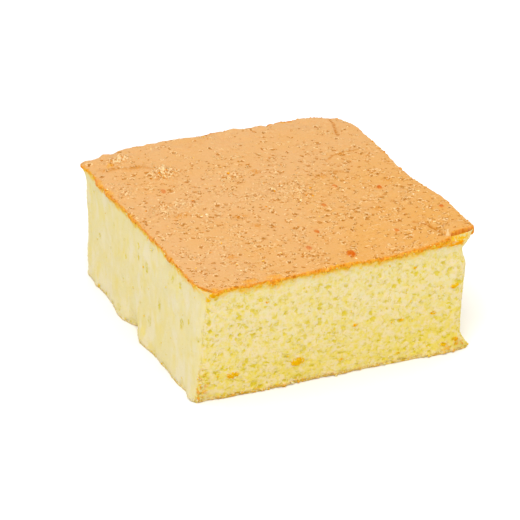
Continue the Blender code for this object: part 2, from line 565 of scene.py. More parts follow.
def skin_marks(recipe, place):
    """The marks at a place, each from 0 to 1, apart from the crease's height in metres."""
    x, y, _ = recipe.parts(place)
    plan = recipe.joined(x, y, 0.0)
    uneven = recipe.wander(plan, 1.3 * MM, 0.45 * MM)
    torn = near_any(recipe, uneven, TORN_ZONES)
    patches = recipe.ramp(recipe.noise(plan, 8 * MM, 3.0), 0.34, 0.64, 0.25, 0.8)
    sparse_behind = recipe.ramp(y, 12 * MM, 46 * MM, 1.0, 0.5)
    share = recipe.largest(recipe.product(patches, sparse_behind), torn)

    inputs = {"Vector": uneven, "Angle": -FLAKE_TURN}
    turned = recipe.node("ShaderNodeVectorRotate", inputs, rotation_type="Z_AXIS").outputs[0]
    along = recipe.vector("MULTIPLY", turned, (1.0, FLAKE_SLIMNESS, 1.0))
    hollow, rim, arc, pin = bubble_marks(recipe, along, plan, share)
    edge, lip = flake_marks(recipe, along, plan, share, torn)
    shred = recipe.product(recipe.ramp(recipe.noise(along, 1.1 * MM), 0.44, 0.62), torn)

    # The brown mark joins the arcs round the rims, the flakes' edges and the creases. In the colour it is
    # partly browned skin and partly painted shade round the rims and in the creases
    crease = 0.0
    brown = recipe.largest(arc, edge)
    for points, width, height, browned in CREASES:
        for start, stop in zip(points, points[1:]):
            line = near_line(recipe, uneven, start, stop, width)
            if height:
                crease = recipe.line(line, height * MM, crease)
            broken = recipe.ramp(recipe.noise(plan, 1.4 * MM, 1.0), 0.34, 0.5, 0.25, 1.0)
            brown = recipe.largest(brown, recipe.product(line, broken, browned))
    scorch = 0.0
    oval = recipe.wander(plan, 1.4 * MM, 0.35 * MM)
    for spot_x, spot_y, radius, strength in SPOTS:
        spot = near_point(recipe, oval, spot_x, spot_y, radius, radius * SPOT_SLIMNESS)
        spot = recipe.ramp(spot, 0.2, 0.8)
        scorch = recipe.largest(scorch, recipe.product(spot, strength))
    ragged = recipe.wander(plan, 1.0 * MM, 0.7 * MM)
    amber_grain = recipe.ramp(recipe.noise(along, 0.9 * MM), 0.46, 0.56)
    return {
        "hollow": hollow,
        "rim": rim,
        "pin": pin,
        "brown": brown,
        "lip": lip,
        "torn": torn,
        "shred": shred,
        "crease": crease,
        "scorch": scorch,
        "blister": recipe.product(scorch, scorch),
        "lump": near_any(recipe, ragged, LUMPS),
        "amber": recipe.product(near_any(recipe, ragged, AMBER), amber_grain),
        "notch": recipe.ramp(near_point(recipe, ragged, *NOTCH), 0.3, 0.6),
        "flap": near_point(recipe, plan, *FLAP),
    }


print("skin marks ready")

# %% [markdown]
# ## The skin's relief
# The tree takes the smooth sheet and moves its points. On the top they move up and down
# by the marks. At the cut edge they move in and out, because thin dry skin crumbles
# under the knife, and down, because shreds of it hang over the crumb. The knife went
# cleanly along the left side, so that edge stays straighter, and the back edge, which
# was torn from the next square, is scalloped.
#
# Two corners differ. At the front left the skin has come off, so the sheet is pulled in.
# At the front right it is lifted: beside the notch its torn edge draws back over the
# crumb, which shows in front of it.
#
# Materials can't tell where a point lay before it was moved, or how near an edge it is.
# So the tree keeps that at each point, under names: the place, the side, the side blurred
# over the neighbouring points, and where loose bits may lie.

# %% Tree: burst bubbles
# How far each mark rises, mm. A blister is the swelling of a scorched spot
SKIN_RELIEF = {
    "hollow": -0.35,
    "rim": 0.3,
    "pin": -0.25,
    "brown": -0.12,
    "lip": 0.25,
    "shred": 1.0,
    "blister": 0.7,
    "amber": 0.3,
    "notch": -0.3,
}

# Waves of the whole sheet, and how much more they rise at the back
WAVES = 0.8 * MM
WAVES_BEHIND = 2.2 * MM

# How far the cut edge hangs: its shreds, the lumps, the lifted corner and its torn stretch
SHREDS_HANG = -1.1 * MM
LUMPS_HANG = -0.6 * MM
FLAP_HANGS = -0.7 * MM
TORN_FLAP_HANGS = -1.7 * MM

# How far the cut edge goes in and out: crumbs of it, scallops, more at the back, and lumps
CRUMBLE = 2.2 * MM
SCALLOPS = 1.0 * MM
SCALLOPS_BEHIND = 4.0 * MM
LUMPS_OUT = 0.8 * MM

# How many times the side is blurred, for its orange border
BORDER_BLUR = 8


def burst_bubbles_tree():
    recipe, given, end = new_tree("burst bubbles", ("Relief", "Ragged edge"))
    place = recipe.node("GeometryNodeInputPosition").outputs[0]
    facing = recipe.node("GeometryNodeInputNormal").outputs[0]
    face_x, face_y, face_z = recipe.parts(facing)
    x, y, _ = recipe.parts(place)
    on_top = recipe.ramp(face_z, 0.45, 0.8)
    on_side = recipe.ramp(recipe.math("ABSOLUTE", face_z), 0.9, 0.5)
    marks = skin_marks(recipe, place)
    rises = [recipe.product(marks[name], height * MM) for name, height in SKIN_RELIEF.items()]
    relief = recipe.total(*rises)
    at_back = recipe.ramp(y, 38 * MM, 50 * MM)
    waves = recipe.swing(place, 6 * MM)
    waves = recipe.product(waves, recipe.line(at_back, WAVES_BEHIND, WAVES))
    up = recipe.total(recipe.product(relief, given["Relief"]), waves, marks["crease"])

    at_left = recipe.ramp(face_x, -0.8, -0.5, 1.0, 0.0)
    rough_cut = recipe.line(at_left, -0.35, 1.0)
    rough_cut = recipe.product(rough_cut, recipe.line(marks["flap"], -0.6, 1.0))
    past_notch = recipe.ramp(x, 41.8 * MM, 43.4 * MM)
    before_tip = recipe.ramp(x, 53 * MM, 48 * MM)
    torn_flap = recipe.product(past_notch, before_tip, recipe.ramp(y, -42 * MM, -49 * MM))
    shreds = recipe.noise(place, 2.2 * MM, 3.0, 0.7)
    hang = recipe.total(
        recipe.product(recipe.ramp(shreds, 0.44, 0.68), SHREDS_HANG, rough_cut),
        recipe.product(marks["lump"], LUMPS_HANG),
        recipe.product(marks["flap"], FLAP_HANGS),
        recipe.product(torn_flap, TORN_FLAP_HANGS),
    )
    hang = recipe.product(hang, recipe.ramp(face_z, 0.35, 0.0), given["Ragged edge"])
    lifted = recipe.joined(0.0, 0.0, recipe.total(recipe.product(up, on_top), hang))
    crumbled = recipe.swing(place, 1.7 * MM, 4.0, 0.75, 0.48)
    scalloped = recipe.swing(place, 8 * MM, 1.0)
    outward = recipe.total(
        recipe.product(crumbled, rough_cut, CRUMBLE),
        recipe.product(scalloped, recipe.line(at_back, SCALLOPS_BEHIND, SCALLOPS)),
        recipe.product(marks["lump"], LUMPS_OUT),
    )
    outward = recipe.product(outward, on_side, given["Ragged edge"])
    lost = near_point(recipe, recipe.joined(x, y, 0.0), *LOST_CORNER)
    shifts = (
        recipe.scaled(recipe.joined(face_x, face_y, 0.0), outward),
        recipe.scaled(LOST_CORNER_SHIFT, lost),
        recipe.scaled((0.0, FLAP_BACK, 0.0), torn_flap),
    )
    offset = lifted
    for shift in shifts:
        offset = recipe.vector("ADD", offset, shift)

    side = recipe.ramp(face_z, 0.75, 0.3)
    inputs = {"Value": side, "Iterations": BORDER_BLUR}
    near_side = recipe.node("GeometryNodeBlurAttribute", inputs).outputs[0]
    edge_clumps = recipe.ramp(recipe.noise(place, 3 * MM), 0.42, 0.62, 0.15, 1.0)
    facing_out = recipe.ramp(face_z, -0.6, -0.3)
    toast_catch = recipe.product(side, edge_clumps, rough_cut, facing_out)
    toast_catch = recipe.total(toast_catch, recipe.product(marks["shred"], on_top, 0.2))
    flake_catch = recipe.product(recipe.total(marks["rim"], marks["shred"], marks["lip"]), on_top)
    sheet = recipe.kept(given["Geometry"], place, {
        "side": side,
        "near side": near_side,
        "catches toast": toast_catch,
        "catches flakes": flake_catch,
    })
    recipe.finish(recipe.moved(sheet, Offset=offset), given, end)
    return recipe.tree


burst_bubbles = burst_bubbles_tree()
print("tree", burst_bubbles.name, "has", len(burst_bubbles.nodes), "nodes")

# %% [markdown]
# ## The skin's colour
# The skin is a warm tan, a little deeper to the front. Torn flakes have dried pale, and
# the flakes' edges keep more brown. The bubbles' rims are painted pale, partly dry skin and
# partly a painted highlight; the hollows, the pinholes and the brown arcs round the rims
# are partly browned skin and partly painted shade. Where the knife went through, the cut
# edge shows the skin's orange inside.
#
# The marks are read at the attribute "place", where each point lay before the relief
# moved it. The attribute "side" tells the cut edge from the top. Its blurred copy, "near
# side", reaches a little way onto the top, and gives it a narrow orange border.

# %% Material: browned skin


def srgb(red, green, blue):
    """A colour as it is seen, 0 to 255, in the linear numbers that shaders use."""
    def linear(value):
        value /= 255
        return value / 12.92 if value <= 0.04045 else ((value + 0.055) / 1.055) ** 2.4
    return (linear(red), linear(green), linear(blue), 1.0)


TAN = srgb(214, 164, 107)
TAN_DEEP = srgb(215, 156, 76)
# Cream of dry flakes, also used as the painted highlight on the bubbles' rims
FLAKE_AND_HIGHLIGHT_CREAM = srgb(246, 214, 160)
HOLLOW = srgb(168, 104, 4)
BROWN = srgb(184, 110, 4)
AMBER_BROWN = srgb(208, 130, 10)
CUT_ORANGE = srgb(224, 136, 0)
CUT_LIGHT = srgb(232, 172, 44)
CUT_DEEP = srgb(208, 106, 0)
SCORCHED = srgb(208, 112, 2)
SCORCHED_DEEP = srgb(198, 84, 0)
NOTCH_CREAM = srgb(234, 208, 158)


def new_material(name):
    material = bpy.data.materials.new(name)
    material.use_nodes = True
    recipe = Recipe(material.node_tree)
    shader = material.node_tree.nodes["Principled BSDF"]
    return material, recipe, shader


def dress(recipe, shader, colour, height, bump, sockets):
    """Links a colour and a bump to a shader, and sets its other sockets.

    bump is the strength of the bump and its distance in mm.
    """
    recipe.tree.links.new(colour, shader.inputs["Base Color"])
    inputs = {"Strength": bump[0], "Distance": bump[1] * MM, "Height": height}
    normal = recipe.node("ShaderNodeBump", inputs).outputs[0]
    recipe.tree.links.new(normal, shader.inputs["Normal"])
    for name, value in sockets.items():
        shader.inputs[name].default_value = value


def skin_material():
    material, recipe, shader = new_material("browned skin")
    place = recipe.read("place", "Vector")
    side = recipe.read("side", "Fac")
    marks = skin_marks(recipe, place)
    x, y, _ = recipe.parts(place)
    patch = recipe.ramp(recipe.noise(place, 17 * MM), 0.35, 0.7, 0.0, 0.25)
    forward = recipe.ramp(recipe.math("SUBTRACT", x, y), -20 * MM, 80 * MM, 0.0, 0.65)
    speck = recipe.noise(place, 0.45 * MM)
    crumbly = recipe.ramp(recipe.noise(place, 0.8 * MM), 0.4, 0.55)
    # Pale: dry lips and shreds of torn skin, and the bubbles' rims, which are partly a painted highlight
    pale_and_painted_light = recipe.largest(marks["lip"], recipe.product(marks["shred"], 1.3))
    pale_and_painted_light = recipe.product(pale_and_painted_light, crumbly)
    pale_and_painted_light = recipe.largest(recipe.ramp(marks["rim"], 0.25, 0.8), pale_and_painted_light)
    pale_and_painted_light = recipe.product(pale_and_painted_light, recipe.line(marks["torn"], 0.35, 0.55))
    # Painted shade: the craters and pinholes are darkened, partly browned skin and partly painted shade in
    # the hollows
    painted_hollow_shade = recipe.largest(marks["hollow"], recipe.product(marks["pin"], 0.9))
    side_patch = recipe.ramp(recipe.noise(place, 1.1 * MM, 3.0, 0.7), 0.4, 0.6)
    scorched = recipe.mixed(side_patch, SCORCHED_DEEP, SCORCHED)
    side_patch = recipe.product(side_patch, recipe.line(marks["flap"], -0.35, 1.0))
    cut = recipe.painted(
        recipe.mixed(side_patch, CUT_ORANGE, CUT_LIGHT),
        (recipe.ramp(speck, 0.52, 0.66, 0.0, 0.75), BROWN),
        (recipe.product(recipe.hump(side, 0.0, 0.4, 0.6, 1.0), crumbly, 0.8), CUT_DEEP),
    )
    ragged = recipe.swing(place, 1.3 * MM, 3.0, 0.6)
    border = recipe.line(ragged, 1.2, recipe.read("near side", "Fac"))
    border = recipe.ramp(border, 0.12, 0.4, 0.0, 0.75)
    edge = recipe.largest(side, border, recipe.product(marks["lump"], 0.7))
    colour = recipe.painted(
        recipe.mixed(recipe.total(patch, forward), TAN, TAN_DEEP),
        (recipe.ramp(speck, 0.55, 0.75, 0.0, 0.15), FLAKE_AND_HIGHLIGHT_CREAM),
        (recipe.ramp(speck, 0.45, 0.28, 0.0, 0.22), BROWN),
        (recipe.product(marks["amber"], 0.8), AMBER_BROWN),
        (recipe.product(marks["brown"], 0.95), BROWN),
        (pale_and_painted_light, FLAKE_AND_HIGHLIGHT_CREAM),
        (recipe.product(painted_hollow_shade, 0.8), HOLLOW),
        (marks["scorch"], scorched),
        (recipe.product(edge, 0.95), cut),
        (recipe.product(marks["notch"], 0.6), NOTCH_CREAM),
    )
    dress(recipe, shader, colour, recipe.noise(place, 0.5 * MM, 3.0, 0.6), (0.3, 0.2), {
        "Roughness": 0.6,
        "Specular IOR Level": 0.08,
        "Subsurface Weight": 0.08,
        "Subsurface Radius": (1.0, 0.5, 0.2),
        "Subsurface Scale": 0.5 * MM,
    })
    return material


skin_look = skin_material()
print("material", skin_look.name, "has", len(skin_look.node_tree.nodes), "nodes")

# %% [markdown]
# ## Make the skin
# The sheet is cut from the solid's top faces. Subdivision smooths it, Solidify gives it
# its thickness, and Remesh lays the fine net that the bubbles need.

# %% Piece: browned skin
MOST_TRIANGLES = 192000
SKIN_THICK = 1.2 * MM
SKIN_NET = 0.25 * MM
TOP_FROM = 34 * MM


def make_skin():
    mesh = merged_cake()
    mesh.normal_update()
    top = [face for face in mesh.faces if face.normal.z > 0.5 and face.calc_center_median().z > TOP_FROM]
    others = set(mesh.faces).difference(top)
    bmesh.ops.delete(mesh, geom=list(others), context="FACES")
    thing = thing_from(mesh, "skin in work")
    modifier(thing, "SUBSURF", levels=2, render_levels=2)
    modifier(thing, "SOLIDIFY", thickness=SKIN_THICK, offset=-1.0)
    modifier(thing, "REMESH", mode="VOXEL", voxel_size=SKIN_NET)
    modifier(thing, "SMOOTH", factor=0.5, iterations=3)
    run_tree(thing, burst_bubbles, **{"Relief": 1.0, "Ragged edge": 1.0, "Look": skin_look})
    return settled(thing, "browned_skin", MOST_TRIANGLES)


skin = make_skin()

# %% [markdown]
# ## The crumb's pores
# A sponge is a foam. The knife opens its bubbles, so a cut side is a fairly flat face
# with holes of many sizes. The larger ones are nearly round: the Voronoi texture scatters
# points in space, and where a wall passes within a pore's reach of such a point it is
# pushed in as a bowl. The small ones run into each other, so they are the dips of a
# noise. The left cut is smoother: its pores are few, and drawn out upwards. Near the foot
# the foam was pressed flat by its own weight.

# %% Marks of the crumb, for relief and colour
LARGE_PORES = 2.7 * MM
SMALL_PORES = 1.7 * MM
SMALL_DEPTH = 0.7 * MM

# Toasted bits on the front cut, mm: X, Z, half width, half height, strength
TOASTED_BITS = (
    (-14, 9, 2.4, 1.5, 1),
    (-37.5, 9, 2.4, 1.1, 0.9),
    (-47.6, 40.2, 1.8, 1.1, 0.9),
    (-44.5, 42, 1.8, 1, 0.9),
    (-25.5, 35, 0.8, 0.6, 0.5),
    (7, 19, 1.3, 0.8, 0.5),
    (2, 6, 1.2, 0.8, 0.5),
    (44, 26, 1.7, 1, 0.75),
    (36, 17, 1.4, 0.8, 0.5),
    (40, 4, 1.8, 0.8, 0.6),
    (44.5, 5, 1.7, 1, 0.6),
    (24, 17, 1, 0.6, 0.5),
    (29, 36, 1, 0.6, 0.5),
    (23, 4, 1.2, 0.7, 0.5),
)

# Pits and slits that the knife drew out on the left cut, mm: Y, Z, half width, half height
SLITS = (
    (-8, 11, 1.2, 2),
    (-15.7, 21.2, 1.1, 2.6),
    (-34.5, 23.3, 1.4, 2),
    (-4.6, 29.8, 1.1, 2.2),
    (-26, 35.9, 0.9, 1.5),
    (-48.2, 24.4, 1.1, 1),
    (18, 3.6, 1.5, 1.3),
    (9.6, 1.8, 1.5, 1.2),
    (-23.4, 0.8, 1.6, 0.9),
    (38, 22, 1, 1.2),
)

# Where brown grains cling to the front cut, mm: X, Z, half width, half height
GRAIN_ZONES = (
    (-50, 5, 4, 8),
    (46, 2, 7, 2),
)

# The torn edge under the lifted corner, mm: X and Z of its ends, and its width. Its orange is partly torn
# skin and partly painted shadow of the gap
LOWER_TEAR = ((34, 42.9), (40, 42.5), (46.5, 42.0))
LOWER_TEAR_WIDTH = 1.6


def pore_set(recipe, place, spacing, share, smallest, largest):
    """How deep a place lies in a pore, 0 to 1, and the pore's radius in metres."""
    distance, lots = recipe.cells(place, spacing)
    reach = recipe.line(lots[0], largest - smallest, smallest)
    ratio = recipe.math("DIVIDE", distance, reach)
    bowl = recipe.math("SUBTRACT", 1.0, recipe.product(ratio, ratio), clamp=True)
    there = recipe.math("LESS_THAN", lots[1], share)
    return recipe.product(bowl, there), recipe.product(reach, spacing)


def crumb_marks(recipe, place, smooth_side, front):
    """The pores, the toasted bits, clinging grains, the lower tear and the slits."""
    x, _, z = recipe.parts(place)
    uneven = recipe.wander(recipe.wander(place, 1.3 * MM, 1.1 * MM), 0.6 * MM, 0.3 * MM)
    ux, uy, uz = recipe.parts(uneven)
    pressed = recipe.product(recipe.math("MINIMUM", uz, 13 * MM), 0.7)
    drawn_out = recipe.line(smooth_side, -0.5, 1.0)
    foam = recipe.joined(ux, uy, recipe.product(recipe.total(uz, pressed), drawn_out))
    rough_side = recipe.rest(smooth_side)
    few_at_top = recipe.ramp(z, 35 * MM, 41 * MM, 1.0, 0.45)
    patches = recipe.ramp(recipe.noise(place, 8 * MM, 1.0), 0.3, 0.65, 0.45, 0.9)
    large_share = recipe.product(patches, few_at_top, recipe.line(rough_side, 0.86, 0.14))
    large, large_radius = pore_set(recipe, foam, LARGE_PORES, large_share, 0.14, 0.46)
    small = recipe.ramp(recipe.noise(foam, SMALL_PORES, 2.0, 0.65), 0.54, 0.68)
    small = recipe.product(small, few_at_top, recipe.line(rough_side, 0.9, 0.1))
    ragged = recipe.wander(place, 0.9 * MM, 0.5 * MM)
    rx, ry, rz = recipe.parts(ragged)
    on_front = recipe.joined(rx, rz, 0.0)
    uneven_toast = recipe.ramp(recipe.noise(place, 1.0 * MM, 3.0, 0.7), 0.34, 0.56, 0.5, 1.5)
    toasted = recipe.product(near_any(recipe, on_front, TOASTED_BITS), uneven_toast)
    slit = near_any(recipe, recipe.joined(ry, rz, 0.0), SLITS)
    grain = recipe.ramp(recipe.noise(place, 1.2 * MM, 2.0, 0.6), 0.5, 0.6)
    grains = recipe.product(recipe.ramp(z, 2.4 * MM, 0.8 * MM), recipe.ramp(x, 30 * MM, -20 * MM, 0.5, 1.0))
    grains = recipe.largest(grains, near_any(recipe, on_front, GRAIN_ZONES))
    tear = 0.0
    for start, stop in zip(LOWER_TEAR, LOWER_TEAR[1:]):
        tear = recipe.largest(tear, near_line(recipe, on_front, start, stop, LOWER_TEAR_WIDTH))
    broken_tear = recipe.ramp(grain, 0.0, 0.6, 0.45, 1.0)
    broken_slit = recipe.ramp(grain, 0.0, 0.6, 0.3, 1.0)
    return {
        "grains": recipe.product(grains, grain, front),
        "large": large,
        "large radius": large_radius,
        "small": small,
        "toasted": recipe.product(recipe.ramp(toasted, 0.25, 0.6), front),
        "tear": recipe.product(recipe.ramp(tear, 0.2, 0.6), broken_tear, front),
        "slit": recipe.product(recipe.ramp(slit, 0.15, 0.7), broken_slit, smooth_side),
    }


print("crumb marks ready, with", len(TOASTED_BITS), "toasted bits")

# %% [markdown]
# ## The crumb's relief
# The tree also measures how near each point is to the skin, with the node Geometry
# Proximity, and keeps that, because the crumb just under the skin is toasted too. Under
# the skin the crumb is set back further, and most of all below the lifted corner. The
# foot is ragged, since the cake's paper pulled some of it away. No point may sink
# through the base, so heights stop at nothing.

# %% Tree: open crumb
SWELL = 0.9 * MM
CRUMB_GRAIN = 0.5 * MM
BITS_STAND_OUT = 0.4 * MM
FOOT_RAGS = 2.8 * MM


def open_crumb_tree():
    recipe, given, end = new_tree("open crumb", ("Pore depth", "Inset", "Inset under skin"), ("Skin",))
    place = recipe.node("GeometryNodeInputPosition").outputs[0]
    facing = recipe.node("GeometryNodeInputNormal").outputs[0]
    x, y, z = recipe.parts(place)
    face_x, face_y, face_z = recipe.parts(facing)
    smooth_side = recipe.ramp(face_x, -0.85, -0.6, 1.0, 0.0)
    front = recipe.ramp(face_y, -0.8, -0.5, 1.0, 0.0)
    on_base = recipe.ramp(face_z, -0.85, -0.6, 1.0, 0.0)
    under_skin = recipe.ramp(face_z, 0.5, 0.8)
    cut = recipe.rest(recipe.largest(on_base, under_skin))
    marks = crumb_marks(recipe, place, smooth_side, front)
    holes = recipe.total(
        recipe.product(marks["large"], marks["large radius"]),
        recipe.product(marks["small"], SMALL_DEPTH),
        recipe.product(marks["slit"], SMALL_DEPTH),
    )
    holes = recipe.product(holes, given["Pore depth"], cut)
    swell = recipe.product(recipe.swing(place, 7 * MM), SWELL)
    grain = recipe.product(recipe.swing(place, 0.9 * MM, 3.0, 0.6), CRUMB_GRAIN)
    raised = recipe.largest(marks["toasted"], marks["grains"], marks["tear"])
    raised = recipe.product(raised, BITS_STAND_OUT)
    foot_rags = recipe.swing(place, 2.4 * MM, 3.0, 0.65, 0.52)
    foot_rags = recipe.product(foot_rags, recipe.ramp(z, 4 * MM, 0.6 * MM), FOOT_RAGS)
    extra_inset = recipe.math("SUBTRACT", given["Inset under skin"], given["Inset"])
    extra_inset = recipe.product(extra_inset, under_skin)
    lifted = near_point(recipe, recipe.joined(x, y, 0.0), *FLAP)
    extra_inset = recipe.total(extra_inset, recipe.product(lifted, under_skin, FLAP_LIFT))
    inwards = recipe.total(holes, given["Inset"], extra_inset)
    outward = recipe.math("SUBTRACT", recipe.total(swell, grain, raised, foot_rags), inwards)
    outward = recipe.product(outward, recipe.rest(on_base))
    skin_mesh = recipe.node("GeometryNodeObjectInfo", {"Object": given["Skin"]}).outputs["Geometry"]
    below_skin = recipe.node("GeometryNodeProximity", {0: skin_mesh}).outputs["Distance"]
    near_foot = recipe.ramp(z, 2.5 * MM, 0.5 * MM)
    at_corner = recipe.ramp(x, -46 * MM, -49 * MM)
    low_corner = recipe.product(recipe.ramp(z, 16 * MM, 4 * MM, 0.0, 0.5), at_corner, front)
    near_skin = recipe.ramp(below_skin, 1.5 * MM, 0.3 * MM, 0.0, 0.5)
    catch = recipe.total(near_foot, low_corner, near_skin, 0.03)
    block = recipe.kept(given["Geometry"], place, {
        "smooth side": smooth_side,
        "front": front,
        "below skin": below_skin,
        "catches crumbs": recipe.product(catch, cut),
    })
    target = recipe.above_base(recipe.vector("ADD", place, recipe.scaled(facing, outward)))
    recipe.finish(recipe.moved(block, Position=target), given, end)
    return recipe.tree


open_crumb = open_crumb_tree()
print("tree", open_crumb.name, "has", len(open_crumb.nodes), "nodes")

# %% [markdown]
# ## The crumb's colour
# Egg yolk makes the sponge yellow. A cut face looks creamy where the foam's walls catch
# the light, and yellow inside the pores, where the light has passed through more crumb.
# Both are painted into the colour: a painted highlight on the walls, in patches of noise,
# and painted light, a deeper yellow, in the pores. Light also travels inside the foam,
# which subsurface scattering imitates. Pores too fine for the mesh are drawn as colour
# and bump.

# %% Material: crumb
CREAM = srgb(215, 202, 155)
PALE_CREAM_AND_PAINTED_LIGHT = srgb(220, 201, 162)
YELLOW = srgb(217, 196, 94)
PORE_LIGHT_YELLOW = srgb(208, 185, 10)
TOASTED = srgb(218, 174, 0)
TOASTED_DEEP = srgb(214, 146, 0)
HONEY = srgb(226, 176, 30)
GRAIN_BROWN = srgb(210, 140, 0)
SLIT_AMBER = srgb(198, 180, 44)
WHITE_CREAM = srgb(218, 206, 172)
FOOT_BROWN = srgb(200, 154, 40)


def crumb_material():
    material, recipe, shader = new_material("sponge crumb")
    place = recipe.read("place", "Vector")
    smooth_side = recipe.read("smooth side", "Fac")
    below_skin = recipe.read("below skin", "Fac")
    marks = crumb_marks(recipe, place, smooth_side, recipe.read("front", "Fac"))
    x, y, z = recipe.parts(place)
    rough_side = recipe.rest(smooth_side)
    mottle = recipe.ramp(recipe.noise(place, 1.9 * MM, 3.0, 0.65), 0.38, 0.62)
    patch = recipe.ramp(recipe.noise(place, 9 * MM), 0.35, 0.65)
    streaks = recipe.noise(recipe.joined(x, y, recipe.product(z, 0.5)), 4.5 * MM, 1.0)
    streaks = recipe.product(recipe.ramp(streaks, 0.45, 0.7), smooth_side)
    low = recipe.ramp(z, 28 * MM, 2 * MM)
    layers = recipe.noise(recipe.joined(recipe.product(x, 0.3), recipe.product(y, 0.3), z), 1.5 * MM)
    layers = recipe.product(recipe.ramp(layers, 0.5, 0.62), recipe.ramp(z, 14 * MM, 6 * MM), rough_side)
    yellow = recipe.total(
        recipe.product(mottle, recipe.line(rough_side, 0.6, 0.1)),
        recipe.product(patch, 0.15),
        recipe.product(streaks, 0.3),
        recipe.product(layers, 0.4),
        recipe.product(low, recipe.line(rough_side, 0.4, 0.05)),
        recipe.product(low, recipe.ramp(x, 5 * MM, 45 * MM), rough_side, 0.35),
    )
    walls = recipe.noise(recipe.vector("ADD", place, (0.0, 0.0, 1.0)), 2.0 * MM, 2.0, 0.6)
    # Paler at the foot: partly its pale crumbs, partly painted light that lifts the shade there
    foot_cream_and_painted_light = recipe.ramp(z, 2.2 * MM, 0.8 * MM, 0.0, 0.4)
    # Painted highlight: cream patches, from a noise, where the foam's walls would catch the light
    pale_and_painted_light = recipe.product(recipe.ramp(walls, 0.44, 0.62), rough_side, 0.65)
    pale_and_painted_light = recipe.largest(pale_and_painted_light, foot_cream_and_painted_light)
    bright = recipe.noise(recipe.joined(x, y, recipe.product(z, 0.6)), 6 * MM)
    bright = recipe.product(recipe.ramp(bright, 0.48, 0.7), smooth_side, 0.7)
    uneven = recipe.wander(place, 0.8 * MM, 0.2 * MM)
    distance, lots = recipe.cells(uneven, 0.75 * MM)
    fine_share = recipe.line(rough_side, 0.35, 0.1)
    fine = recipe.product(recipe.ramp(distance, 0.4, 0.15), recipe.math("LESS_THAN", lots[1], fine_share))
    # Painted light in the pores: a deeper yellow stands in for light that has passed through more crumb
    painted_pore_light = recipe.largest(
        recipe.ramp(marks["large"], 0.0, 0.5),
        recipe.product(marks["small"], 0.85),
        recipe.product(fine, 0.4),
    )
    # Honey: toasted crumb just under the skin, and painted shade under the lifted corner, where the gap is
    # in shadow
    flap = near_point(recipe, recipe.joined(x, y, 0.0), *FLAP)
    ragged = recipe.line(recipe.noise(place, 1.5 * MM), -3.0 * MM, below_skin)
    painted_shade_under_flap = recipe.product(recipe.ramp(flap, 0.1, 0.6), recipe.ramp(z, 40 * MM, 41 * MM))
    painted_shade_under_flap = recipe.product(painted_shade_under_flap, recipe.ramp(recipe.noise(place, 1.2 * MM), 0.38, 0.55))
    toast_and_flap_shade = recipe.largest(recipe.ramp(ragged, 0.5 * MM, -1.0 * MM, 0.0, 0.7), painted_shade_under_flap)
    at_tip = recipe.ramp(x, 48 * MM, 50 * MM)
    toast_and_flap_shade = recipe.product(toast_and_flap_shade, recipe.line(at_tip, -0.85, 1.0))
    toasted = recipe.ramp(ragged, -0.7 * MM, -1.4 * MM, 0.0, 0.8)
    toasted = recipe.largest(toasted, marks["toasted"], marks["tear"])
    toast_patch = recipe.ramp(recipe.noise(place, 0.9 * MM), 0.45, 0.6)
    foot_dots = recipe.ramp(recipe.noise(place, 1.3 * MM), 0.46, 0.58)
    foot_line = recipe.product(recipe.ramp(z, 1.7 * MM, 0.7 * MM), foot_dots)
    foot_line = recipe.product(foot_line, recipe.line(rough_side, 0.8, 0.2), 0.7)
    colour = recipe.painted(
        recipe.mixed(recipe.math("ADD", yellow, 0.0, clamp=True), CREAM, YELLOW),
        (pale_and_painted_light, PALE_CREAM_AND_PAINTED_LIGHT),
        (bright, WHITE_CREAM),
        (recipe.product(painted_pore_light, 0.75), PORE_LIGHT_YELLOW),
        (recipe.product(marks["slit"], 0.85), SLIT_AMBER),
        (toast_and_flap_shade, HONEY),
        (toasted, recipe.mixed(toast_patch, TOASTED, TOASTED_DEEP)),
        # The lower tear: orange of torn skin clinging to the crumb, and painted shadow of the gap under the
        # lifted corner
        (recipe.product(marks["tear"], 0.85), CUT_ORANGE),
        (recipe.product(marks["grains"], 0.85), GRAIN_BROWN),
        (foot_line, FOOT_BROWN),
    )
    height = recipe.math("SUBTRACT", recipe.noise(place, 0.5 * MM), fine)
    dress(recipe, shader, colour, height, (0.4, 0.3), {
        "Roughness": 0.85,
        "Specular IOR Level": 0.06,
        "Subsurface Weight": 0.25,
        "Subsurface Radius": (1.0, 0.75, 0.3),
        "Subsurface Scale": 0.7 * MM,
    })
    return material


crumb_look = crumb_material()
print("material", crumb_look.name, "has", len(crumb_look.node_tree.nodes), "nodes")

# %% [markdown]
# ## Make the crumb
# The whole block gets an even net and then its pores. Its top is set back further than
# its sides, so that it stays hidden inside the skin.

# %% Piece: crumb
CRUMB_NET = 0.34 * MM
PORE_DEPTH = 0.45
CRUMB_INSET = 0.3 * MM
INSET_UNDER_SKIN = 1.0 * MM


def make_crumb():
    thing = thing_from(merged_cake(), "crumb in work")
    modifier(thing, "REMESH", mode="VOXEL", voxel_size=CRUMB_NET)
    modifier(thing, "SMOOTH", factor=0.5, iterations=10)
    run_tree(thing, open_crumb, **{
        "Pore depth": PORE_DEPTH,
        "Inset": CRUMB_INSET,
        "Inset under skin": INSET_UNDER_SKIN,
        "Skin": skin,
        "Look": crumb_look,
    })
    return settled(thing, "crumb", MOST_TRIANGLES)


crumb = make_crumb()

# %% [markdown]
# ## Loose bits
# A cut cake sheds. Crumbs cling round its foot, scraps of toasted skin hang along the cut
# edge, and pale dry flakes stand up where the top is torn. All three are grains scattered
# over a surface, so one tree makes them. It reads where grains may lie from an attribute
# that the relief trees kept, puts a small rounded block at each place, turns each one
# differently and makes it uneven with a noise. Many are small and few are large, as when
# something crumbles, which the power of a random number gives.

# %% Tree: scattered grains
# The power that leaves few grains large, and how far they tilt either way, in radians
FEW_LARGE = 3.0
GRAIN_TILT = 0.4
SEEDS = {"place": 5, "size": 1, "tilt": 2}


